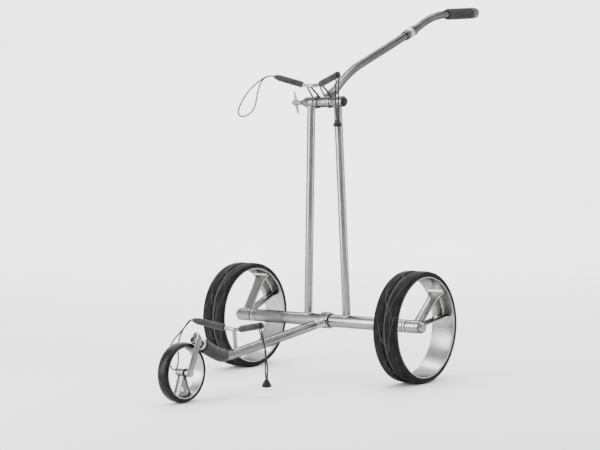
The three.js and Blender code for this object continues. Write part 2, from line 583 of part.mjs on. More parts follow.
function makeFrontWheel() {
  const wheel = new THREE.Group();
  wheel.position.set(0, FRONT_WHEEL_Y, FRONT_WHEEL_RADIUS);
  const outer = FRONT_WHEEL_RADIUS / Math.cos(Math.PI / FRONT_SIDES);
  const inside = FRONT_RIM_OUTER + GAP;
  const tyre = [
    [inside, -15.8], [66.5, -16.5], [70, -15.4], [72.6, -11], [outer, -4], [outer, 4], [72.6, 11],
    [70, 15.4], [66.5, 16.5], [inside, 15.8],
  ];
  const rim = ring(FRONT_RIM_OUTER, FRONT_RIM_INNER, -FRONT_RIM_HALF, FRONT_RIM_HALF);
  wheel.add(named('front_tyre', turnedAcross(tyre, FRONT_SIDES), rubber(0x1c1c1c)));
  wheel.add(named('front_rim', turnedAcross(rim, FRONT_SIDES), steel(0xb9b9b4)));

  // The same V as on the rear wheels, smaller and pointing down.
  const legs = [-1, 1].map((turn) =>
    plate([[7, -1.5], [66, -1.5], [66, 1.5], [7, 1.5]], -FRONT_SPOKE_HALF_WIDTH, FRONT_SPOKE_HALF_WIDTH)
      .rotateX(radians(-90 + turn * FRONT_SPOKE_SPREAD)));
  const web = plate([[42, -15.5], [66, -24], [66, 24], [42, 15.5], [44.5, 0]], 5.8, 8)
    .rotateX(radians(-90));
  const rimRoom = turnedAcross(rod(FRONT_RIM_INNER - 2 * GAP, -20, 20), FRONT_SIDES);
  const hub = turnedAcross(rod(9, -14, 14));
  const bore = turnedAcross(rod(4 + GAP, -14, 16), 16);
  const spoke = kept(joined(...legs, web, hub), rimRoom);
  wheel.add(named('front_spoke', cut(spoke, bore), steel()));
  return wheel;
}

trolley.add(
  makeAxle(), makeUprights(), makeClamp(),
  makeRearWheel(SIDES[0], LEFT_SPOKE_ANGLE), makeRearWheel(SIDES[1], RIGHT_SPOKE_ANGLE),
  makeUpperBracket(), makeHandle(), makeFrontFrame(), makeFork(), makeFrontWheel(), makeCords(),
);
trolley.position.y = -ORIGIN_FROM_AXLE;

export default trolley;
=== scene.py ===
# The looks of a three-wheeled electric golf trolley: brushed tubes with welds, hoop-rim wheels,
# foam pads, shock cords, a ribbed grip and plain studio surroundings. Lengths are in millimetres in
# the tables of shapes, and in metres once at() has placed them in the object's frame.
import json
import math

import bpy
from mathutils import Matrix, Vector, noise


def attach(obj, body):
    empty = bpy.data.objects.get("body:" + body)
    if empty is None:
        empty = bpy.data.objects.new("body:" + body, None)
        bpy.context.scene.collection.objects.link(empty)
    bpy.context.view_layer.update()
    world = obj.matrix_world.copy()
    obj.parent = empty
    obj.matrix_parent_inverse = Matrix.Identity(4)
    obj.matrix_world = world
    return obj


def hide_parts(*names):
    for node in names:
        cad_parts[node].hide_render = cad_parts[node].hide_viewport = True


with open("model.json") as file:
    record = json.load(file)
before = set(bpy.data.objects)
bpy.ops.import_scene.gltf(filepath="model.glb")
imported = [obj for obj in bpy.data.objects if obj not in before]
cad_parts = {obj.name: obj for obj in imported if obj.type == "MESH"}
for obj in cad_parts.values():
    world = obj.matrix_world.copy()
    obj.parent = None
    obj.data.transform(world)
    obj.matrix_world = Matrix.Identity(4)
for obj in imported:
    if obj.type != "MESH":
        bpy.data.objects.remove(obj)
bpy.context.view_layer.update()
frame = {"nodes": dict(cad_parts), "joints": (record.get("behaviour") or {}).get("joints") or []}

TAU = 2 * math.pi
SIDES = (("left", 1), ("right", -1))
X, Y, Z = Vector((1, 0, 0)), Vector((0, 1, 0)), Vector((0, 0, 1))
AXLE_Y = next(j["pos_m"][1] for j in frame["joints"] if j["name"] == "front_frame_fold")


def at(x, y, z):
    """A point laid out from the rear axle, in millimetres, in the object's frame."""
    return Vector((x / 1000, y / 1000 + AXLE_Y, z / 1000))


def slope(degrees):
    """The direction towards the handle that rises by an angle."""
    return Vector((0, math.cos(math.radians(degrees)), math.sin(math.radians(degrees))))


REAR_RADIUS = 145  # of the rear wheels, and so the height of their axle
HALF_TRACK = 286.5
REAR_AXLE = at(0, 0, REAR_RADIUS)
CLAMP = at(0, -4, 730)
MAIN_WAY = -slope(7.05)
NOSE_END = at(0, -507, 131.9)
NOSE_RISE = math.radians(26.8)
NOSE_WAY = Vector((0, -math.cos(NOSE_RISE), math.sin(NOSE_RISE)))
FRONT_HUB = at(0, -582, 73.5)


def evenly(low, high, count):
    """Even steps from low to high, with both ends."""
    return [low + (high - low) * k / count for k in range(count + 1)]


def axes(x, y, z):
    """The matrix that lays an object's own axes along three directions."""
    return Matrix((x, y, z)).transposed().to_4x4()


def add_object(name, data):
    made = bpy.data.objects.new(name, data)
    bpy.context.scene.collection.objects.link(made)
    return made


# ---- lines
SPAN_STEPS = 24  # fine steps from one given point to the next
TINY = 1e-9
MOST_EASED = 0.42  # the share of an edge that the easing of one corner may take


def smooth_line(points, step):
    """A centripetal Catmull-Rom line through the points, in even steps."""
    ends = [points[0] * 2 - points[1], *points, points[-1] * 2 - points[-2]]
    dense = []
    for p0, p1, p2, p3 in zip(ends, ends[1:], ends[2:], ends[3:]):
        a, b, c = (math.sqrt(max((q - p).length, TINY)) for p, q in ((p0, p1), (p1, p2), (p2, p3)))
        t1 = ((p1 - p0) / a - (p2 - p0) / (a + b) + (p2 - p1) / b) * b
        t2 = ((p2 - p1) / b - (p3 - p1) / (b + c) + (p3 - p2) / c) * b
        for k in range(SPAN_STEPS):
            u = k / SPAN_STEPS
            dense.append(p1 * (2 * u**3 - 3 * u**2 + 1) + t1 * (u**3 - 2 * u**2 + u)
                         + p2 * (3 * u**2 - 2 * u**3) + t2 * (u**3 - u**2))
    dense.append(points[-1].copy())
    along = [0.0]
    for p, q in zip(dense, dense[1:]):
        along.append(along[-1] + (q - p).length)
    count = max(2, round(along[-1] / step))
    line, i = [], 0
    for k in range(count + 1):
        s = along[-1] * k / count
        while i < len(along) - 2 and along[i + 1] < s:
            i += 1
        share = (s - along[i]) / max(along[i + 1] - along[i], TINY)
        line.append(dense[i].lerp(dense[i + 1], share))
    return line


def length_of(line):
    return sum((q - p).length for p, q in zip(line, line[1:]))


def across_of(axis):
    """Two unit vectors square to an axis and to each other."""
    start = Z if abs(axis.z) < 0.9 else Y
    first = (start - axis * start.dot(axis)).normalized()
    return first, axis.cross(first)


def eased(profile, radius=0.5, steps=3, closed=False):
    """The corners of a profile, rounded."""
    made, count = [], len(profile)
    for i, point in enumerate(profile):
        here = Vector(point)
        if not closed and i in (0, count - 1):
            made.append(here)
            continue
        before, after = Vector(profile[i - 1]), Vector(profile[(i + 1) % count])
        back = min(radius, MOST_EASED * (before - here).length)
        on = min(radius, MOST_EASED * (after - here).length)
        start = here + (before - here).normalized() * back
        stop = here + (after - here).normalized() * on
        for u in evenly(0, 1, steps):
            made.append(start * (1 - u) ** 2 + here * (2 * u * (1 - u)) + stop * u**2)
    return [(p.x, p.y) for p in made]


def dense_profile(profile, step, closed=True):
    """The profile in edges of about a step."""
    made = []
    for p, q in zip(profile, profile[1:] + profile[:closed]):
        parts = max(1, round(math.dist(p, q) / step))
        made += [tuple(a + (b - a) * k / parts for a, b in zip(p, q)) for k in range(parts)]
    return made if closed else made + [profile[-1]]


def mirrored(half):
    """A profile or an outline from one half of it."""
    return half + [(a, -b) for a, b in reversed(half)]


# ---- meshes
CAP_UV = 0.002  # the radius that a flat end has in the UV map
POLE = 1e-6  # a ring with a smaller radius is one point on the axis
PRESSED_WIDTH = 0.24  # the width of a pressed groove, as a share of the rod's half width
SHARP = 38  # edges with a larger angle are shaded sharp


class Piece:
    """Gathers closed shells, with UVs in metres, and makes one object of them."""

    def __init__(self):
        self.verts, self.faces, self.uvs, self.marks = [], [], [], {}

    def rings(self, rings, v, girth, loop=False, capped=True, marks=(), caps=None):
        """Faces between rings of points. A ring of one point is a pole."""
        starts = []
        for ring in rings:
            starts.append(len(self.verts))
            self.verts.extend(ring)
        sizes = [len(ring) for ring in rings]
        n = max(sizes)
        pairs = list(zip(range(len(rings)), range(1, len(rings))))
        if loop:
            pairs.append((len(rings) - 1, 0))
        for i, j in pairs:
            v0, v1 = v[i], (v[j] if j else v[i] + (v[1] - v[0]))
            for k in range(n):
                u0, u1 = girth * k / n, girth * (k + 1) / n
                corners = {}
                for ring, turn, uv in ((i, k, (u0, v0)), (i, k + 1, (u1, v0)),
                                       (j, k + 1, (u1, v1)), (j, k, (u0, v1))):
                    corners.setdefault(starts[ring] + turn % sizes[ring], uv)
                if len(corners) > 2:
                    self.faces.append(list(corners))
                    self.uvs.append(list(corners.values()))
        if capped and not loop:
            turns = [TAU * k / n for k in range(n)]
            for i, order in ((0, -1), (-1, 1)):
                if sizes[i] > 1:
                    self.faces.append(list(range(starts[i], starts[i] + n))[::order])
                    flat = caps or [(CAP_UV * math.cos(a), v[i] + CAP_UV * math.sin(a)) for a in turns]
                    self.uvs.append(flat[::order])
        for start, values in zip(starts, marks):
            self.marks.update(enumerate(values, start))
        return self

    def turned(self, profile, origin, axis, sides=64, ease=0.5, steps=3, change=None):
        """A solid of revolution from (radius, along) pairs in millimetres, with eased corners. A
        profile that starts off the axis closes on itself."""
        closed = profile[0][0] > 0
        if ease:
            profile = eased(profile, ease, steps, closed)
        axis = axis.normalized()
        first, second = across_of(axis)
        rings, v, so_far, last = [], [], 0.0, None
        for radius, along in profile:
            here = Vector((radius, along))
            so_far += (here - last).length / 1000 if last is not None else 0
            last = here
            v.append(so_far)
            if radius < POLE:
                rings.append([origin + axis * (along / 1000)])
                continue
            ring = []
            for k in range(sides):
                turn = TAU * k / sides
                r = (radius + (change(turn, radius, along) if change else 0)) / 1000
                out = first * math.cos(turn) + second * math.sin(turn)
                ring.append(origin + axis * (along / 1000) + out * r)
            rings.append(ring)
        girth = TAU * max(radius for radius, _ in profile) / 1000
        return self.rings(rings, v, girth, loop=closed, capped=False)

    def swept(self, line, radius, sides=32, ends="flat", high=None, up=None, closed=False, size=None,
              groove=0.0):
        """A rod along a line. radius and high are in millimetres; size scales the section at a
        length along the line in millimetres; groove is the share that its faces are pressed in."""
        count = len(line)
        tangents = []
        for i in range(count):
            before, after = i - 1, (i + 1) % count
            if not closed:
                before, after = max(i - 1, 0), min(i + 1, count - 1)
            tangents.append((line[after] - line[before]).normalized())
        side = across_of(tangents[0])[0]
        if up:
            side = (up - tangents[0] * up.dot(tangents[0])).normalized()
        high = high or radius
        rings, v, so_far = [], [], 0.0
        total = length_of(line)
        for i, (point, tangent) in enumerate(zip(line, tangents)):
            side = (side - tangent * side.dot(tangent)).normalized()
            other = tangent.cross(side)
            so_far += (point - line[i - 1]).length if i else 0
            v.append(so_far)
            scale = size(so_far * 1000) if size else 1
            if ends == "round" and not closed:
                left = min(so_far, total - so_far) * 1000
                if left < radius:
                    scale *= math.sqrt(max(0.0, 1 - (1 - left / radius) ** 2)) * 0.97 + 0.03
            ring = []
            for k in range(sides):
                across, thick = math.cos(TAU * k / sides), math.sin(TAU * k / sides)
                pressed = 1 - groove * math.exp(-(across / PRESSED_WIDTH) ** 2)
                out = side * (high * across) + other * (radius * thick * pressed)
                ring.append(point + out * (scale / 1000))
            rings.append(ring)
        return self.rings(rings, v, TAU * radius / 1000, loop=closed)

    def plate(self, outline, matrix, low, high, ease=0.5):
        """An outline in millimetres, made thick from low to high, with eased rims."""
        flat = [Vector((x, y)) for x, y in outline]
        area = sum(p.x * q.y - q.x * p.y for p, q in zip(flat, flat[1:] + flat[:1]))
        if area < 0:
            flat.reverse()
        count, normals = len(flat), []
        for i in range(count):
            edge = flat[(i + 1) % count] - flat[i - 1]
            normals.append(Vector((edge.y, -edge.x)).normalized())
        rings, v = [], []
        for level, inset in ((low, ease), (low + ease * 0.3, ease * 0.3), (low + ease, 0),
                             (high - ease, 0), (high - ease * 0.3, ease * 0.3), (high, ease)):
            rings.append([matrix @ Vector(((p.x - n.x * inset) / 1000, (p.y - n.y * inset) / 1000,
                                           level / 1000)) for p, n in zip(flat, normals)])
            v.append(level / 1000)
        caps = [(p.x / 1000, p.y / 1000) for p in flat]
        return self.rings(rings, v, length_of(flat) / 1000, caps=caps)

    def done(self, name, material, body, replaces=(), sharp=SHARP, slot=None):
        mesh = bpy.data.meshes.new(name)
        mesh.from_pydata([tuple(p) for p in self.verts], [], self.faces)
        layer = mesh.uv_layers.new(name="UVMap")
        layer.data.foreach_set("uv", [c for face in self.uvs for corner in face for c in corner])
        if self.marks:
            marks = mesh.attributes.new("groove", "FLOAT", "POINT")
            marks.data.foreach_set("value", [self.marks.get(i, 0.0) for i in range(len(self.verts))])
        mesh.validate()
        mesh.polygons.foreach_set("use_smooth", [True] * len(mesh.polygons))
        mesh.set_sharp_from_angle(angle=math.radians(sharp))
        mesh.materials.append(material)
        made = add_object(name, mesh)
        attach(made, body)
        if replaces:
            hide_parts(*replaces)
        return made


# ---- materials
EDGE_TINT = (0.12, 0.12, 0.12, 1)  # darkens a metal where it is seen at a slant


class Shader:
    """A material or a world around one shader, whose constants are set on its own sockets."""

    def __init__(self, name, main="Principled BSDF", group="materials", **constants):
        self.data = getattr(bpy.data, group).new(name)
        self.data.use_nodes = True
        self.tree = self.data.node_tree
        self.main = self.tree.nodes[main]
        for key, value in constants.items():
            self.main.inputs[key.replace("_", " ")].default_value = value

    def node(self, kind, inputs=None, **settings):
        made = self.tree.nodes.new("ShaderNode" + kind)
        for key, value in settings.items():
            setattr(made, key, value)
        for key, value in (inputs or {}).items():
            if isinstance(value, bpy.types.NodeSocket):
                self.tree.links.new(value, made.inputs[key])
            else:
                made.inputs[key].default_value = value
        return made

    def place(self, source="Object", scale=(1, 1, 1), turn=(0, 0, 0)):
        found = self.node("TexCoord").outputs[source]
        inputs = {"Vector": found, "Scale": scale, "Rotation": turn}
        return self.node("Mapping", inputs).outputs["Vector"]

    def noise(self, vector, scale, detail=3.0, rough=0.55):
        return self.node("TexNoise", {"Vector": vector, "Scale": scale, "Detail": detail,
                                      "Roughness": rough}).outputs["Fac"]

    def spread(self, value, low, high, from_low=0.3, from_high=0.7):
        return self.node("MapRange", {"Value": value, "From Min": from_low, "From Max": from_high,
                                      "To Min": low, "To Max": high}).outputs["Result"]

    def tones(self, value, *stops):
        made = self.node("ValToRGB", {"Fac": value})
        band = made.color_ramp
        while len(band.elements) < len(stops):
            band.elements.new(0.5)
        for element, (place, colour) in zip(band.elements, stops):
            element.position = place
            element.color = (*colour, 1)
        return made.outputs["Color"]

    def math(self, kind, first, second=0.0):
        return self.node("Math", {0: first, 1: second}, operation=kind).outputs[0]

    def blend(self, first, first_share, second, second_share):
        return self.math("ADD", self.math("MULTIPLY", first, first_share),
                         self.math("MULTIPLY", second, second_share))

    def bump(self, height, strength, distance):
        made = self.node("Bump", {"Height": height, "Strength": strength, "Distance": distance})
        self.put("Normal", made.outputs["Normal"])

    def put(self, key, socket):
        self.tree.links.new(socket, self.main.inputs[key])


def grey(value, warm=0.0):
    return (value * (1 + warm), value, value * (1 - 1.6 * warm))


def metal(name, low, high, rough, lines=(2600, 45), warm=0.012, spread=0.07):
    """Metal brushed along its tube: fine lines, a slow cloudiness, and smudges in its gloss."""
    made = Shader(name, Metallic=1.0, Specular_Tint=EDGE_TINT)
    lined = made.noise(made.place("UV", (*lines, 1)), 1.0, 2.0)
    cloud = made.noise(made.place(), 26.0, 4.0, 0.6)
    made.put("Base Color", made.tones(made.blend(lined, 0.45, cloud, 0.55), (0.36, grey(low, warm)),
                                      (0.66, grey(high, warm * 0.6))))
    smudge = made.noise(made.place(), 70.0, 5.0, 0.65)
    made.put("Roughness", made.spread(made.blend(lined, 0.5, smudge, 0.5),
                                      rough - spread, rough + spread, 0.35, 0.65))
    made.bump(lined, 0.35, 0.00003)
    return made.data


def weld_metal():
    made = Shader("weld_bead", Metallic=1.0)
    tint = made.noise(made.place(), 240.0, 3.0)
    made.put("Base Color", made.tones(tint, (0.3, (0.46, 0.44, 0.40)), (0.55, (0.72, 0.70, 0.66)),
                                      (0.75, (0.62, 0.60, 0.60))))
    made.put("Roughness", made.spread(tint, 0.2, 0.38))
    made.bump(made.noise(made.place(), 900.0, 2.0), 0.3, 0.0001)
    return made.data


def tyre_rubber(name, base, line, rough, shine):
    """Rubber with dust and fine streaks, and with a lighter tone where the mesh marks a cut."""
    made = Shader(name, Specular_IOR_Level=shine)
    dust = made.noise(made.place(), 55.0, 6.0, 0.7)
    streak = made.noise(made.place("UV", (13, 560, 1), (0, 0, 0.06)), 1.0, 2.0)
    skin = made.tones(made.blend(dust, 0.35, streak, 0.65), (0.34, grey(base * 0.6)),
                      (0.54, grey(base * 1.3)), (0.66, grey(line * 0.3)))
    marked = made.node("Attribute", attribute_name="groove").outputs["Fac"]
    lined = made.tones(dust, (0.3, grey(line * 0.8)), (0.7, grey(line)))
    mixed = made.node("Mix", {"Factor": marked, "A": skin, "B": lined}, data_type="RGBA")
    made.put("Base Color", mixed.outputs["Result"])
    made.put("Roughness", made.spread(dust, rough - 0.08, rough + 0.08))
    made.bump(made.noise(made.place(), 1400.0, 3.0), 0.25, 0.0002)
    return made.data


def foam(name, base):
    """Closed-cell foam: small pits, a powdery bloom and rubbed patches."""
    made = Shader(name, Specular_IOR_Level=0.2, Sheen_Weight=0.08, Sheen_Roughness=0.6)
    cells = made.node("TexVoronoi", {"Vector": made.place(), "Scale": 900.0}).outputs["Distance"]
    rubbed = made.noise(made.place(), 38.0, 5.0, 0.65)
    made.put("Base Color", made.tones(rubbed, (0.35, grey(base * 0.45)), (0.65, grey(base * 1.5))))
    made.put("Roughness", made.spread(rubbed, 0.82, 0.95))
    made.bump(made.blend(cells, 0.7, made.noise(made.place(), 2200.0, 2.0), 0.5), 0.5, 0.0004)
    return made.data


def moulded(name, base, rough, grain=1500.0, shine=0.5):
    made = Shader(name, Specular_IOR_Level=shine)
    cloud = made.noise(made.place(), 90.0, 4.0)
    made.put("Base Color", made.tones(cloud, (0.3, grey(base * 0.8)), (0.7, grey(base * 1.25))))
    made.put("Roughness", made.spread(cloud, rough - 0.06, rough + 0.08))
    made.bump(made.noise(made.place(), grain, 3.0), 0.18, 0.00015)
    return made.data


def braid(strands=8, radius=0.002, pitch=0.0021):
    """Two sets of strands that cross at a slant round the cord. Lengths are in metres."""
    made = Shader("shock_cord_braid", Specular_IOR_Level=0.25, Sheen_Weight=0.08, Sheen_Roughness=0.5)
    split = made.node("SeparateXYZ", {"Vector": made.place("UV")})
    around = made.math("MULTIPLY", split.outputs["X"], strands / radius)
    along = made.math("MULTIPLY", split.outputs["Y"], TAU / pitch)
    one, two = (made.math("SINE", made.math(kind, around, along)) for kind in ("ADD", "SUBTRACT"))
    weave = made.math("MULTIPLY", one, two)
    made.put("Base Color", made.tones(made.spread(weave, 0, 1, -1, 1), (0.35, grey(0.008)),
                                      (0.75, grey(0.028))))
    made.put("Roughness", made.spread(weave, 0.6, 0.85, -1, 1))
    made.bump(weave, 0.6, 0.0003)
    return made.data


STEEL = metal("brushed_tube", 0.22, 0.27, 0.2, spread=0.03)
GREY_STEEL = metal("brushed_grey_tube", 0.12, 0.18, 0.2, spread=0.03)
END_STEEL = metal("turned_grey", 0.13, 0.19, 0.3, lines=(60, 3000), warm=0.0)
WHEEL = metal("brushed_wheel", 0.35, 0.40, 0.27, lines=(60, 2600), warm=0.006, spread=0.02)
BRIGHT = metal("turned_bright", 0.42, 0.58, 0.22, lines=(60, 3000), warm=0.004)
DARK = metal("satin_dark", 0.15, 0.26, 0.38, lines=(900, 60), warm=0.0)
DRIVE = metal("machined_drive", 0.28, 0.42, 0.34, lines=(60, 1800), warm=0.0)
WELD = weld_metal()
TREAD = tyre_rubber("tyre_tread", 0.006, 0.13, 0.66, 0.07)
GLOSS_TYRE = tyre_rubber("front_tyre_rubber", 0.005, 0.03, 0.3, 0.12)
PAD = foam("pad_foam", 0.024)
NOSE = foam("nose_foam", 0.027)
GRIP = moulded("grip_rubber", 0.02, 0.7, 1100.0, 0.18)
PLASTIC = moulded("black_gloss", 0.008, 0.3, 1500.0, 0.22)
MATTE = moulded("black_matte", 0.014, 0.55, 1500.0, 0.25)
SATIN = moulded("grey_satin", 0.09, 0.42)
CORD = braid()


# ---- camera
SENSOR, LENS = 36, 100.197
EYE = at(2708.20, -3552.52, 641.85)
EYE_AXES = axes((0.785933, 0.618201, -0.011727), (-0.023928, 0.049362, 0.998494),
                (0.617849, -0.784469, 0.053587))


def make_camera():
    data = bpy.data.cameras.new("camera")
    data.sensor_width, data.lens = SENSOR, LENS
    camera = add_object("camera", data)
    camera.matrix_world = Matrix.Translation(EYE) @ EYE_AXES
    bpy.context.scene.camera = camera


make_camera()


# ---- shock cords
UPPER_LOOP = [
    (-107.5, -82.5, 799.5), (-114.5, -84, 801), (-123, -84.6, 800.9), (-133, -84.5, 798.6),
    (-144, -84.2, 794.6), (-156, -83.8, 788.8), (-169, -83.2, 781.8), (-182, -82.5, 773.6),
    (-195, -81.8, 763.8), (-207, -81, 752.8), (-218, -80.2, 741), (-227.5, -79.5, 728.5),
    (-234.5, -79, 715.5), (-236.5, -78.7, 705), (-232, -78.6, 697.5), (-222, -78.5, 694.8),
    (-209, -78.4, 696.8), (-197, -78.3, 702.3), (-186, -78.1, 711), (-178.5, -77.9, 722.5),
    (-174, -77.8, 736), (-171, -77.8, 750), (-166.5, -77.9, 763.5), (-160.5, -78.3, 776),
    (-153.3, -79, 787), (-144.8, -79.6, 794.6), (-133, -80, 799.4), (-123, -80.1, 801.2),
    (-115, -79.6, 800.9), (-108.8, -78.1, 799.5),
]
LOWER_LOOP = [
    (-114, -415.2, 178.2), (-118.5, -416, 177.6), (-125, -416.4, 173.4), (-132, -416.2, 166.6),
    (-139.5, -415.8, 158.4), (-147, -415.2, 149), (-154, -414.6, 138.6), (-159.8, -414, 127),
    (-163.5, -413.4, 114), (-165.4, -412.8, 100), (-166.3, -412.3, 86), (-167, -411.9, 72),
    (-169, -411.6, 59), (-174.6, -411.4, 48.6), (-183, -411.3, 45), (-191, -411.2, 49),
    (-196.3, -411, 58.5), (-199.4, -410.7, 71), (-200, -410.3, 85), (-197.2, -409.9, 99),
    (-191, -409.6, 112), (-182, -409.4, 123.6), (-171, -409.2, 134), (-159.5, -409.2, 144),
    (-148.5, -409.3, 154), (-138.5, -409.5, 163.4), (-129.5, -409.8, 171.4), (-121.5, -410.3, 176.6),
    (-115, -410.9, 178.2),
]
UPPER_OUTER_STRAND = [
    (105, -79.4, 788.6), (105.9, -79.6, 785), (106, -79.5, 778), (105.4, -79.2, 769), (104.9, -79, 759),
    (104.4, -78.8, 748), (103.8, -78.6, 736), (103.3, -78.4, 724), (102.9, -78.2, 712),
    (102.4, -78.1, 700), (101.9, -78, 690), (101.7, -78, 683.4),
]
UPPER_INNER_STRAND = [
    (95.3, -76.6, 785.7), (95.6, -76.8, 781), (95, -77.1, 773), (94.3, -77.4, 764), (93.9, -77.6, 754),
    (93.8, -77.8, 742), (94.1, -78, 730), (94.8, -78, 718), (95.6, -78, 706), (96.7, -78, 695),
    (97.3, -78, 683.4),
]
LOWER_OUTER_STRAND = [
    (110.2, -412, 167.7), (111.3, -412.3, 163), (113, -412.3, 156), (115.5, -412.2, 146),
    (118.4, -412, 134), (120.8, -411.8, 122), (122.8, -411.6, 110), (124.6, -411.4, 98),
    (126.4, -411.2, 86), (127.4, -411, 75), (127.2, -411, 64), (126.4, -411, 54), (126.2, -411, 46.4),
]
LOWER_INNER_STRAND = [
    (100.7, -409.6, 165.9), (102.6, -409.2, 161), (106, -408.4, 153), (109.8, -407.6, 143),
    (113.4, -407.2, 132), (116.2, -407.2, 121), (118.2, -407.6, 110), (119.3, -408.4, 99),
    (119.8, -409.4, 88), (120.1, -410.4, 76), (120.6, -411, 65), (121.5, -411, 55), (121.8, -411, 46.4),
]
CORD_RADIUS = 1.98
CORD_STEP = 0.0022


def make_knob(place, body, x, y, top):
    """A flared pull bead with a flat foot, a necked top and moulded flutes."""
    profile = [(0, -20), (10.2, -20), (12.4, -17.5), (11.6, -13), (7.2, -5.5), (5.2, -1.2), (4.2, 0),
               (0, 0)]

    def flutes(turn, radius, along):
        return -0.35 * max(0, math.cos(9 * turn)) ** 4 if -17 < along < -3 else 0

    return Piece().turned(profile, at(x, y, top), Z, 72, 1.2, change=flutes).done(
        f"{place}_pull_bead", PLASTIC, body, [f"{place}_cord_knob"])


def make_cord(name, route, node, body):
    line = smooth_line([at(*p) for p in route], CORD_STEP)
    made = Piece().swept(line, CORD_RADIUS, 16).done(name, CORD, body, [node])


upper_pull = make_knob("upper", "handle", 99.5, -78, 683)
lower_pull = make_knob("lower", "front_frame", 124, -411, 46)
make_cord("upper_loop", UPPER_LOOP, "upper_cord_loop", "handle")
make_cord("lower_loop", LOWER_LOOP, "lower_cord_loop", "front_frame")
for place, which, route, body, length, pull in (
        ("upper", "outer", UPPER_OUTER_STRAND, "handle", 0.1054, upper_pull),
        ("upper", "inner", UPPER_INNER_STRAND, "handle", 0.1025, upper_pull),
        ("lower", "outer", LOWER_OUTER_STRAND, "front_frame", 0.1231, lower_pull),
        ("lower", "inner", LOWER_INNER_STRAND, "front_frame", 0.1227, lower_pull)):
    make_cord(f"{place}_strand_{which}", route, f"{place}_cord_{which}_strand", body)


# ---- welds and teeth
RIPPLE_PITCH = 1.9
SEAM_STEP = 0.6


def bead(piece, line, radius=1.3, closed=True):
    """A weld bead with its overlapping ripples."""
    piece.swept(line, radius, 10, "round", closed=closed,
                size=lambda along: 1 + 0.16 * abs(math.sin(math.pi * along / RIPPLE_PITCH)))


def seam_between(foot, direction, radius, centre, axis, hoop):
    """The line where a rod along direction meets a cylinder round an axis."""
    first, second = across_of(direction)
    line = []
    count = max(40, round(TAU * radius / SEAM_STEP))
    for k in range(count):
        turn = TAU * k / count
        start = foot + (first * math.cos(turn) + second * math.sin(turn)) * (radius / 1000)
        square = start - centre
        square -= axis * square.dot(axis)
        way = direction - axis * direction.dot(axis)
        a, b, c = way.dot(way), 2 * square.dot(way), square.dot(square) - (hoop / 1000) ** 2
        reach = (-b + math.sqrt(max(0.0, b * b - 4 * a * c))) / (2 * a)
        line.append(start + direction * reach)
    return line


def on_hoop(matrix, x, radius, angle):
    """A point in metres at an angle round a wheel's middle, offset along its axle."""
    return matrix @ Vector((x, radius * math.cos(angle), radius * math.sin(angle)))


def knurl(count, depth, low, high):
    """Straight teeth on a turned piece between two heights."""
    return lambda turn, radius, along: (
        -depth * (0.5 + 0.5 * math.cos(count * turn)) if low < along < high else 0)


# ---- axle tube, uprights and clamp
def make_clamp_sleeve(name, node, body, low, high):
    Piece().turned([(12.6, low), (14.5, low), (14.5, high), (12.6, high)], CLAMP, X, 72).done(
        name, GREY_STEEL, body, [node])


def make_chassis():
    tube = mirrored([(15.5, -252), (17, -252), (17, -241), (16.6, -240.6), (16.6, -239.4), (17, -239)])
    Piece().turned(tube, REAR_AXLE, X, 96, 0.35, 2).done(
        "axle_tube_brushed", STEEL, "chassis", ["axle_tube"])
    welds = Piece()
    for side, s in SIDES:
        foot, top = at(s * 65.1, 0, REAR_RADIUS), at(s * 44, -2, 730)
        way = (top - foot).normalized()
        reach = (top - foot).length * 1000
        wall = [(0, 14), (11, 14), (11, reach - 13.2), (0, reach - 13.2)]
        Piece().turned(wall, foot, way, 64, 0.4).done(
            f"upright_{side}_brushed", STEEL, "chassis", [f"upright_{side}"])
        bead(welds, seam_between(foot, way, 11.3, REAR_AXLE, X, 17.2))
        bead(welds, seam_between(top, -way, 11.2, CLAMP, X, 14.7), 1.1)
    welds.done("upright_welds", WELD, "chassis")

    for side, low, high in (("left", 30.9, 66), ("right", -55.6, -30.9)):
        make_clamp_sleeve(f"clamp_{side}_brushed", f"clamp_sleeve_{side}", "chassis", low, high)
    cap = [(0, 69.2), (5.3, 69.2), (5.3, 66.4), (10.4, 66.4), (11, 67), (11, 69.4), (10.3, 71.3),
           (7, 72.7), (0, 73)]
    Piece().turned(cap, CLAMP, X, 72, 0.7).done(
        "clamp_end_cap", PLASTIC, "chassis", ["clamp_cap"])

    bolt = [(0, 68.8), (5, 68.8), (5, -55.9), (14.4, -56), (14.4, -58.5), (13.4, -60.5), (7.4, -70.5),
            (6.2, -73.5), (6.2, -88), (6.9, -89), (6.9, -100), (6.2, -101), (6.2, -104), (4.6, -106.4),
            (0, -106.4)]
    screw = Piece().turned(bolt, CLAMP, X, 56, 0.7, change=knurl(24, 0.25, -58.4, -56.1))
    wings = mirrored([(-31, 1.2), (-24, 2.4), (-14, 3.4), (-7, 4.6), (0, 6.3), (7, 4.6), (14, 3.4),
                        (24, 2.4), (31, 1.2)])
    tilt = Matrix.Rotation(math.radians(-12), 4, "Y")
    screw.plate(wings, Matrix.Translation(CLAMP + X * -0.0945) @ tilt @ axes(Z, X, Y), -2.4, 2.4, 0.9)
    screw.done("wing_screw_satin", DARK, "clamp_screw", ["wing_screw"])


make_chassis()


# ---- rear wheels
CUT_PITCH = TAU * REAR_RADIUS / 9  # nine cuts of each kind on each band of the tread
TREAD_SIDES = 576
REAR_V = math.radians(16.4)  # half the angle between a spoke's two plates
REAR_V_FOOT = 13  # how far from the hub's middle the plates' lines start
REAR_HOOP = 0.1273  # the inside of the rim, in metres, where the beads lie


def cut_at(place, half_width):
    """The depth of a cut at a place round the tyre, from 1 on its middle line to 0 at its edge."""
    cuts = place / CUT_PITCH
    off = abs(cuts - round(cuts)) * CUT_PITCH
    return max(0.0, 1 - (off / half_width) ** 2)


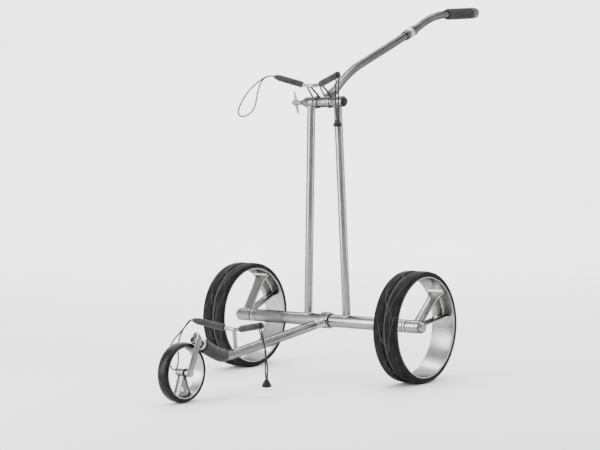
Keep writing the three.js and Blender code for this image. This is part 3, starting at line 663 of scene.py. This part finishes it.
def tread_mark(turn, x):
    """The tread's cuts at a place, as a depth in millimetres and a share of the lighter tone."""
    middle, out, place = abs(x + 1.5), abs(x), turn * REAR_RADIUS
    depth = 4.2 * max(0.0, 1 - (middle / 6) ** 2)
    tone = max(0.0, 1 - (middle / 1.2) ** 2)
    for sign in (1, -1):
        if sign * x > 2:
            run = out / 32
            long = (cut_at(place - sign * 14 + 118 * run**1.35, 1.9)
                    * min(1, (32 - out) / 3, (out - 2) / 2))
            short = (cut_at(place + sign * 22 - 60 * run**1.6, 1.1)
                     * min(1, (29 - out) / 3, (out - 5) / 2))
            leaf = max(0.0, long, 0.6 * short)
            depth, tone = max(depth, 0.9 * leaf), max(tone, 0.85 * leaf)
    return depth, tone


def make_rear_tyre(side, s):
    section = mirrored([(130.8, -34.5), (141.2, -34.5), (143.4, -32), (144.7, -24), (144.95, -16),
                        (144.6, -7)])
    section = dense_profile(eased(section, 1.6), 0.9, False)
    middle = at(s * HALF_TRACK, 0, REAR_RADIUS)
    rings, marks, v, so_far = [], [], [], 0.0
    for i, (radius, along) in enumerate(section):
        so_far += math.dist(section[i - 1], section[i]) / 1000 if i else 0
        v.append(so_far)
        on_tread = radius > 140.5 and abs(along) < 33.5
        ring, values = [], []
        for k in range(TREAD_SIDES):
            turn = TAU * k / TREAD_SIDES
            depth, tone = tread_mark(turn, s * along) if on_tread else (0, 0)
            r = (radius - depth) / 1000
            ring.append(middle + Vector((along / 1000, r * math.cos(turn), r * math.sin(turn))))
            values.append(tone)
        rings.append(ring)
        marks.append(values)
    tyre = Piece().rings(rings, v, TAU * REAR_RADIUS / 1000, loop=True, marks=marks)
    tyre.done(f"rear_tyre_{side}_tread", TREAD, f"rear_wheel_{side}", [f"rear_tyre_{side}"], 60)


def make_rear_rim(side, s):
    section = [(128.2, -33.9), (127.9, -34.4), (130.3, -34.5), (130.5, -33.9), (130.5, 33.9),
               (130.3, 34.5), (127.9, 34.4), (128.2, 33.9), (128.4, 32.1), (128, 31.1), (128, -31.1),
               (128.4, -32.1)]
    Piece().turned(section, at(s * HALF_TRACK, 0, REAR_RADIUS), X, 192, 0.3, 2).done(
        f"rear_rim_{side}_brushed", WHEEL, f"rear_wheel_{side}", [f"rear_rim_{side}"])


def make_spoke(side, s, lift):
    """A hub with two plates in a V, a web between them near the rim, and their welds."""
    body = f"rear_wheel_{side}"
    base = (Matrix.Translation(at(s * HALF_TRACK, 0, REAR_RADIUS))
            @ Matrix.Rotation(math.radians(lift), 4, "X"))
    hub = [(0, 299), (5.1, 299), (5.1, 262), (16.4, 262), (17, 262.6), (17, 301), (16.3, 306),
           (13.8, 310.4), (9.5, 313.4), (0, 314.5)]
    spoke = Piece().turned(hub, REAR_AXLE, X * s, 72, 1.2, 4)
    welds = Piece()
    outline = mirrored([(6, 15), (60, 15), (80, 15.4), (94, 16.6), (104, 18.8), (110, 21.4),
                        (113.6, 24.4)])
    for way in (1, -1):
        lean = (Matrix.Translation((0, REAR_V_FOOT / 1000, way * 0.004))
                @ Matrix.Rotation(way * REAR_V, 4, "X") @ axes(Y, X, Z))
        spoke.plate(outline, base @ lean, -2, 2)
        for face in (1, -1):
            bend = way * (REAR_V + 0.031) + face * 0.0165
            across = [on_hoop(base, x / 1000, 0.1274, bend) for x in evenly(-23.5, 23.5, 27)]
            bead(welds, across, 2.0, False)
        foot = [on_hoop(base, x / 1000, 0.0168, way * 0.52) for x in evenly(-14.5, 14.5, 23)]
        bead(welds, foot, 1.5, False)
    turns = evenly(-(REAR_V + 0.02), REAR_V + 0.02, 14)
    outer = [(129 * math.cos(a), 129 * math.sin(a)) for a in turns]
    scoop = []
    for u in evenly(-1, 1, 12):
        reach = 93 - 9 * abs(u) ** 2.2
        scoop.append((reach, -u * ((reach - REAR_V_FOOT) * math.tan(REAR_V) + 4)))
    spoke.plate(outer + scoop, base @ axes(Y, Z, X), -1.5, 1.5, 0.4)
    for face in (1, -1):
        x = face * 0.0021
        bead(welds, [on_hoop(base, x, REAR_HOOP, a) for a in evenly(-REAR_V, REAR_V, 30)], 1.5, False)
        for way in (1, -1):
            edge = []
            for reach in evenly(87, 125, 15):
                high = (reach - REAR_V_FOOT) * math.tan(REAR_V) + 1.8
                edge.append(base @ Vector((x, reach / 1000, way * high / 1000)))
            bead(welds, edge, 1.3, False)
    spoke.done(f"rear_spoke_{side}_brushed", STEEL, body, [f"rear_spoke_{side}"],
               slot="wheel_metal")
    welds.done(f"rear_spoke_{side}_welds", WELD, body, slot="wheel_metal")


def make_release_ring(side, s):
    ring = [(5.1, 253.3), (16.2, 253.3), (17, 254.1), (17, 254.8), (16.2, 255.2), (16.2, 255.7),
            (17, 256.1), (17, 258.2), (16.4, 258.8), (5.1, 258.8)]
    Piece().turned(ring, REAR_AXLE, X * s, 160, 0.25, 2, knurl(40, 0.4, 256, 258.3)).done(
        f"release_ring_{side}_knurled", BRIGHT, f"release_{side}",
        [f"release_ring_{side}"])


for side, s in SIDES:
    make_rear_tyre(side, s)
    make_rear_rim(side, s)
    make_spoke(side, s, 24 if s > 0 else 39)
    make_release_ring(side, s)


# ---- bag brackets
BAR_RADIUS = 4.8


def make_pads(place, inner, tip, body):
    """The foam pad and the moulded end cap on each arm of a bracket."""
    for side, s in SIDES:
        start, stop = at(s * inner[0], *inner[1:]), at(s * tip[0], *tip[1:])
        way = (stop - start).normalized()
        reach = (stop - start).length * 1000
        end = reach - (19 if side == "left" else 11) - 0.3
        profile = eased([(5.6, 0.4), (6.6, 0), (8.4, 1.8), (8.8, 5), (8.75, end - 3), (8.3, end),
                         (5.6, end)], 1.4, 4, True)
        seed = 11 * (side == "left") + 23 * (place == "upper")

        def uneven(turn, radius, along):
            if radius < 6:
                return 0
            spot = Vector((math.cos(turn) + seed, math.sin(turn), along / 14))
            seam = 0.35 * math.exp(-(((turn - 3.9) * 8.5) / 0.7) ** 2)
            return 0.22 * (noise.noise(spot) - 0.4) - seam

        made = Piece().turned(dense_profile(profile, 1.6), start, way, 64, 0, change=uneven).done(
            f"{place}_pad_{side}_foam", PAD, body, [f"{place}_pad_{side}"], 70)
        if side == "left":
            shape = [(0, reach - 2.5), (5.5, reach - 2.5), (5.5, end + 0.4), (8.6, end + 0.3),
                     (9.2, end + 1.2), (9.2, reach - 5.2), (7.8, reach - 1.6), (5, reach - 0.1),
                     (0, reach)]
        else:
            shape = [(0, end + 0.3), (6.8, end + 0.3), (7.4, end + 1), (7.1, end + 2.4),
                     (5.7, reach - 2), (4.9, reach - 0.1), (0, reach)]
        Piece().turned(shape, start, way, 56, 0.9, 4, knurl(18, 0.16, end + 2, reach - 6)).done(
            f"{place}_cap_{side}_moulded", PLASTIC, body, [f"{place}_pad_cap_{side}"])


def bar_line(middle, inner, tip):
    """A bracket's bar, from inside its left end cap through its middle to inside its right one."""
    left, right = ([[i + (t - i) * share for i, t in zip(inner, tip)] for share in shares]
                   for shares in ((0.95, 0.7, 0.45, 0.2, 0), (0, 0.2, 0.45, 0.7, 0.84)))
    points = [*(at(*p) for p in left), at(*middle), *(at(-x, y, z) for x, y, z in right)]
    return smooth_line(points, 0.003)


def make_upper_bracket():
    inner, tip = (29.2, -57, 775.6), (107, -80, 799.2)
    Piece().swept(bar_line((0, -50.5, 772.5), inner, tip), BAR_RADIUS).done(
        "upper_bar_brushed", STEEL, "handle", ["upper_bracket_bar"])
    make_pads("upper", inner, tip, "handle")
    hairpin = [(-19, 737), (-31, 748.5), (-42, 761), (-46.6, 768.4), (-41, 772), (-30, 767), (-15, 757),
               (0, 746)]
    saddle = mirrored([(14.6, -4.5), (17.1, -4.5)])
    for side, s in SIDES:
        x = s * 21
        strut = Piece().swept(smooth_line([at(x, y, z) for y, z in hairpin], 0.0018), 2.8, 24, "round")
        strut.turned(saddle, CLAMP + X * (x / 1000), X, 64, 0.7)
        strut.done(f"upper_strut_{side}_brushed", GREY_STEEL, "handle",
                   [f"upper_strut_{side}"])


make_upper_bracket()


# ---- handle
HANDLE_RADIUS = 11.2
SWIVEL, SWIVEL_WAY = at(0, 379, 920.3), slope(21.9)
GRIP_FOOT, GRIP_WAY = at(0, 591, 991.6), slope(4.3)
RIB_PITCH = 3.3


def make_handle():
    make_clamp_sleeve("clamp_centre_brushed", "clamp_sleeve_centre", "handle", -30.6, 30.6)
    path = [(9, 741), (36, 753.5), (60, 774), (86, 793), (130, 819.5), (200, 849), (290, 884.5),
            (335, 902.6), (379, 920.3)]
    lower = Piece().swept(smooth_line([at(0, y, z) for y, z in path], 0.004), HANDLE_RADIUS, 56)
    collar = [(10.2, -2), (13.6, -2), (14.4, -1.2), (14.4, 4.4), (13.9, 4.8), (13.9, 5.4), (14.4, 5.8),
              (14.4, 10.4), (13.8, 11), (10.2, 11)]
    lower.turned(collar, SWIVEL, SWIVEL_WAY, 72, 0.3, 2)
    lower.done("handle_lower_brushed", GREY_STEEL, "handle", ["handle_tube_lower"])
    welds, foot = Piece(), at(0, 2, 737)
    way = (at(0, 36, 753.5) - foot).normalized()
    bead(welds, seam_between(foot - way * 0.004, way, 11.5, CLAMP, X, 14.8), 1.3)
    welds.done("handle_foot_weld", WELD, "handle")

    lock = [(10.5, 12.3), (14.2, 12.3), (15, 13.1), (15, 15), (14.5, 15.5), (14.5, 16.3), (15, 16.8),
            (15, 25.5), (14.5, 26), (14.5, 26.8), (15, 27.3), (15, 29.2), (14.2, 30), (10.5, 30)]
    Piece().turned(lock, SWIVEL, SWIVEL_WAY, 144, 0.25, 2, knurl(36, 0.35, 16.9, 25.4)).done(
        "swivel_ring_knurled", BRIGHT, "lock_ring", ["swivel_lock_ring"])

    path = [(424, 938.4), (455, 952.8), (481, 965), (507, 974.8), (533, 982.2), (560, 987.6)]
    points = [at(0, y, z) for y, z in path] + [GRIP_FOOT + GRIP_WAY * (d / 1000) for d in (0, 40, 80)]
    upper = Piece().swept(smooth_line(points, 0.004), HANDLE_RADIUS, 56)
    top = [(8.1, 30.8), (13.8, 30.8), (14.4, 31.4), (14.4, 48.5), (13.4, 50.6), (11.3, 52), (8.1, 52)]
    upper.turned(top, SWIVEL, SWIVEL_WAY, 72, 0.4, 2)
    upper.turned([(0, -24), (9.3, -24), (9.3, 32), (0, 32)], SWIVEL, SWIVEL_WAY, 48)
    upper.done("handle_upper_brushed", GREY_STEEL, "upper_handle", ["handle_tube_upper"])

    profile = [(11.9, 0), (12.6, 0), (13.4, 0.8), (15.4, 6), (16.7, 10.4), (17, 12.4), (17, 15)]
    rib = 15.0
    while rib < 119:
        profile += [(17, rib + 1.7), (16.35, rib + 2.1), (16.35, rib + 2.9), (17, rib + RIB_PITCH)]
        rib += RIB_PITCH
    profile += [(17, 125), (17, 129), (16.4, 130), (11.9, 130)]

    def seams(turn, radius, along):
        return -0.35 * max(0, math.cos(2 * turn)) ** 12 if 14 < along < 122 else 0

    Piece().turned(profile, GRIP_FOOT, GRIP_WAY, 96, 0.3, 1, seams).done(
        "grip_ribbed", GRIP, "upper_handle", ["grip_sleeve"], 50)
    dial = [(6, 130.6), (16.2, 130.6), (17, 131.4), (17, 146.2), (16.2, 147), (12.5, 147),
            (12.5, 134.4), (6, 134.4)]
    Piece().turned(dial, GRIP_FOOT, GRIP_WAY, 180, 0.35, 2, knurl(60, 0.3, 131.6, 146)).done(
        "dial_knurled", END_STEEL, "dial", ["speed_dial"])
    button = [(0, 136.2), (12.1, 136.2), (12.1, 149), (15, 149), (15.6, 149.6), (15.6, 158.8),
              (13.8, 161.4), (8, 161.4), (6.5, 160.6), (0, 160.2)]
    Piece().turned(button, GRIP_FOOT, GRIP_WAY, 64).done(
        "button_moulded", SATIN, "button", ["power_button"])


make_handle()


# ---- front frame
def make_collar_and_nut():
    hoop = mirrored([(17.3, -13), (21.4, -13), (22, -12.4)])
    collar = Piece().turned(hoop, REAR_AXLE, X, 80)
    spigot = [(0, 19), (8, 19), (8, 62), (10.2, 62), (10.2, 95), (0, 95)]
    collar.turned(spigot, REAR_AXLE, MAIN_WAY, 48, 0.4)
    collar.done("front_collar_brushed", STEEL, "front_frame", ["front_collar"])
    nut = [(8.3, 23.4), (11.4, 23.4), (12.1, 24.2), (12.1, 27), (11.5, 27.6), (11.5, 28.6),
           (12.1, 29.2), (12.1, 52), (11.5, 52.6), (11.5, 53.6), (12.1, 54.2), (12.1, 59.4),
           (11.4, 60.4), (8.3, 60.4)]
    Piece().turned(nut, REAR_AXLE, MAIN_WAY, 128, 0.3, 2, knurl(32, 0.4, 29.4, 51.8)).done(
        "front_nut_knurled", BRIGHT, "lock_nut", ["front_lock_nut"])


def make_main_tube():
    straight = [REAR_AXLE + MAIN_WAY * (d / 1000) for d in (61.2, 160, 280, 375)]
    nose = [at(0, -412, 95.6), at(0, -440, 99.8), at(0, -468, 111.8)]
    Piece().swept(smooth_line([*straight, *nose, NOSE_END], 0.004), 12.5, 56).done(
        "main_tube_brushed", STEEL, "front_frame", ["main_tube"])
    line = smooth_line([at(0, -423, 96.8), *nose[1:], at(0, -505.5, 131.1)], 0.0014)

    def worn(along):
        fade = min(1.0, along / 5, (length_of(line) * 1000 - along) / 2.5)
        return 0.82 + 0.18 * math.sqrt(max(0.0, 1 - (1 - fade) ** 2)) + 0.006 * math.sin(along / 6.1)

    made = Piece().swept(line, 16.8, 64, size=worn).done(
        "nose_sleeve_foam", NOSE, "front_frame", ["nose_sleeve"], 70)


def make_lower_bracket():
    inner, tip, middle = (25.6, -391, 161.3), (113.3, -412.8, 178), (0, -386, 158.5)
    bracket = Piece().swept(bar_line(middle, inner, tip), BAR_RADIUS)
    post = [at(0, -381, 105), at(0, -381.8, 120), at(0, -383.5, 140), at(0, -386, 158)]
    bracket.swept(smooth_line(post, 0.002), 5.3, size=lambda along: 1 + 0.55 * math.exp(-along / 4.5))
    bracket.done("lower_bar_brushed", STEEL, "front_frame", ["lower_bracket_bar"])
    welds = Piece()
    up = (at(0, -381.8, 120) - at(0, -381, 100)).normalized()
    bead(welds, seam_between(at(0, -381, 98.4), up, 6.4, REAR_AXLE, MAIN_WAY, 12.7), 1.2)
    welds.done("lower_post_weld", WELD, "front_frame")
    make_pads("lower", inner, tip, "front_frame")


def make_head_collar():
    ring = [(6.3, 0.6), (13.4, 0.6), (14, 1.2), (14, 5.2), (13.2, 5.8), (13.2, 6.6), (14, 7.2),
            (14, 8.4), (13.4, 9), (6.3, 9)]
    Piece().turned(ring, NOSE_END, NOSE_WAY, 72, 0.3, 2).done(
        "head_collar_bright", BRIGHT, "front_frame", ["head_collar"])


make_collar_and_nut()
make_main_tube()
make_lower_bracket()
make_head_collar()


# ---- fork and front wheel
def make_fork():
    stem = [(0, -9), (6, -9), (6, 12), (11, 12), (11, 19), (9.5, 20.5), (9.5, 37.2), (8.8, 38),
            (7.5, 38), (7.5, 30), (0, 30)]
    fork = Piece().turned(stem, NOSE_END, NOSE_WAY, 56)
    path = [(26, -582, 73.5), (26, -573, 93), (26, -563, 115), (26, -554, 136), (25, -547.5, 148),
            (19.5, -541, 157), (11, -536, 160.5), (3, -532, 156), (0, -529, 147)]
    fork.swept(smooth_line([at(*p) for p in path], 0.002), 5, 64, high=9, up=Y, groove=0.4)
    boss = [(0, 15), (8.2, 15), (9, 15.8), (9, 30.2), (8.2, 31), (5.2, 31), (4.8, 30.2), (0, 30)]
    fork.turned(boss, FRONT_HUB, X, 56)
    fork.turned([(0, -15.5), (4, -15.5), (4, 16), (0, 16)], FRONT_HUB, X, 40, 0.4)
    fork.done("front_fork_brushed", STEEL, "fork", ["front_fork"])
    # A black gloss disc set just inside the open end of the fork's stem. It is painted shade: it stands
    # in for the dark, shaded hollow under the fork's crown.
    painted_shade_disc = [(0, 30.2), (7.3, 30.2), (7.3, 36), (6, 36.8), (0, 37)]
    Piece().turned(painted_shade_disc, NOSE_END, NOSE_WAY, 48).done("fork_stub_painted_shade", PLASTIC, "fork")


FRONT_V = math.radians(20)  # half the angle between the front spoke's two plates


def make_front_wheel():
    tyre = mirrored([(63.3, -15.8), (66.5, -16.5), (70, -15.4), (72.4, -11), (73.4, -4.5)])
    tyre.insert(len(tyre) // 2, (73.5, 0))
    Piece().turned(tyre, FRONT_HUB, X, 160, 2.4, 4).done(
        "front_tyre_smooth", GLOSS_TYRE, "front_wheel", ["front_tyre"], 60)
    rim = mirrored([(61, -14), (60.8, -14.5), (62.8, -14.6), (63, -14)])
    Piece().turned(rim, FRONT_HUB, X, 144, 0.3, 2).done(
        "front_rim_brushed", WHEEL, "front_wheel", ["front_rim"])
    hub = [(4.3, -14), (8.4, -14), (9, -13.4), (9, 10), (8.4, 10.6), (4.3, 10.6)]
    spoke = Piece().turned(hub, FRONT_HUB, X, 56, 0.4)
    washer = [(4.4, 10.9), (10.6, 10.9), (11.2, 11.5), (11.2, 14.1), (10.6, 14.7), (4.4, 14.7)]
    Piece().turned(washer, FRONT_HUB, X, 56, 0.4).done(
        "front_hub_washer", MATTE, "front_wheel")
    welds = Piece()
    down = Matrix.Translation(FRONT_HUB) @ Matrix.Rotation(math.radians(-90), 4, "X")
    outline = mirrored([(6, 9.6), (38, 9.8), (48, 10.4), (55, 11.6), (59, 12.8), (61.4, 13.6)])
    for way in (1, -1):
        lean = Matrix.Rotation(way * FRONT_V, 4, "X") @ axes(Y, X, Z)
        spoke.plate(outline, down @ lean, -1.5, 1.5, 0.4)
        for face in (1, -1):
            bend = way * FRONT_V + face * 0.03
            across = [on_hoop(down, x / 1000, 0.0604, bend) for x in evenly(-12.5, 12.5, 15)]
            bead(welds, across, 1.0, False)
    outer = [(61.4 * math.cos(a), 61.4 * math.sin(a)) for a in evenly(-0.36, 0.36, 10)]
    reaches = [(45 - 3.5 * abs(u) ** 2.2, u) for u in evenly(-1, 1, 10)]
    scoop = [(reach, -u * reach * math.tan(FRONT_V)) for reach, u in reaches]
    spoke.plate(outer + scoop, down @ axes(Y, Z, X), 5.8, 8, 0.3)
    spoke.done("front_spoke_brushed", GREY_STEEL, "front_wheel", ["front_spoke"],
               slot="wheel_metal")
    welds.done("front_spoke_welds", WELD, "front_wheel", slot="wheel_metal")


make_fork()
make_front_wheel()

# The pieces inside the tubes and the gusset under the handle keep their CAD shape.
kept = {"speed_controller": MATTE, "handle_gusset": DARK}
for side, _ in SIDES:
    kept |= {f"gear_motor_{side}": DRIVE, f"axle_bearing_{side}": BRIGHT, f"drive_shaft_{side}": DRIVE}
for name, material in kept.items():
    materials = frame["nodes"][name].data.materials
    materials.clear()
    materials.append(material)


# ---- surroundings
FLAT, BEND, WALL, STAGE_SIDES = 6.5, 2.6, 9.0, 96  # the stage's floor, curve and height, in metres


def make_stage():
    """A pale round floor that curves up into a wall, wide enough to see the trolley from any side."""
    profile = [(FLAT - 0.5, 0), (FLAT, 0)]
    profile += [(FLAT + BEND * math.sin(a), BEND - BEND * math.cos(a))
                for a in evenly(0, math.pi / 2, 16)[1:]]
    profile.append((FLAT + BEND, WALL))
    turns = [TAU * k / STAGE_SIDES for k in range(STAGE_SIDES)]
    verts = [(r * math.cos(a), r * math.sin(a), z) for r, z in profile for a in turns]
    faces = [tuple(range(STAGE_SIDES))]
    for low in range(0, len(verts) - STAGE_SIDES, STAGE_SIDES):
        for k in range(STAGE_SIDES):
            here, after = low + k, low + (k + 1) % STAGE_SIDES
            faces.append((here, here + STAGE_SIDES, after + STAGE_SIDES, after))
    mesh = bpy.data.meshes.new("floor")
    mesh.from_pydata(verts, [], faces)
    mesh.polygons.foreach_set("use_smooth", [True] * len(mesh.polygons))
    paint = Shader("pale_floor", Specular_IOR_Level=0.2)
    cloud = paint.noise(paint.place(), 0.8, 2.0)
    paint.put("Base Color", paint.tones(cloud, (0.3, grey(0.82)), (0.7, grey(0.86))))
    paint.put("Roughness", paint.spread(cloud, 0.55, 0.65))
    mesh.materials.append(paint.data)
    floor = add_object("floor", mesh)


def make_light(name, place, target, size, power):
    data = bpy.data.lights.new(name, "AREA")
    data.shape = "RECTANGLE"
    data.size, data.size_y = size
    data.energy = power
    made = add_object(name, data)
    made.location = place
    made.visible_camera = False
    made.rotation_mode = "QUATERNION"
    made.rotation_quaternion = (Vector(target) - Vector(place)).to_track_quat("-Z", "Y")


make_stage()
eye = bpy.context.scene.camera.matrix_world
right, back = eye.col[0].to_3d(), eye.col[2].to_3d()
chest = Z * 1.25
make_light("overhead", Z * 3.2 + back * 0.5, (0, 0, 0.4), (2.6, 2.6), 120)
make_light("left_strip", right * -1.9 + back * 1.0 + chest, chest, (1.0, 2.5), 80)
make_light("right_strip", right * 2.0 + back * 0.5 + chest, chest, (0.4, 2.5), 26)
make_light("backdrop", back * -3.5 + Z * 6.0, back * -8.6 + Z * 1.2, (7.0, 2.5), 1500)


def make_world():
    """A studio that is bright overhead and behind, and dim in front near the horizon."""
    sky = Shader("studio", "Background", "worlds", Strength=1.0)
    turned = sky.place("Generated", turn=(math.radians(-24), 0, -math.atan2(back.x, -back.y)))
    height = sky.node("SeparateXYZ", {"Vector": turned}).outputs["Z"]
    sky.put("Color", sky.tones(height, (0.05, (0.05, 0.05, 0.052)), (0.8, (0.9, 0.91, 0.93))))
    bpy.context.scene.world = sky.data


make_world()
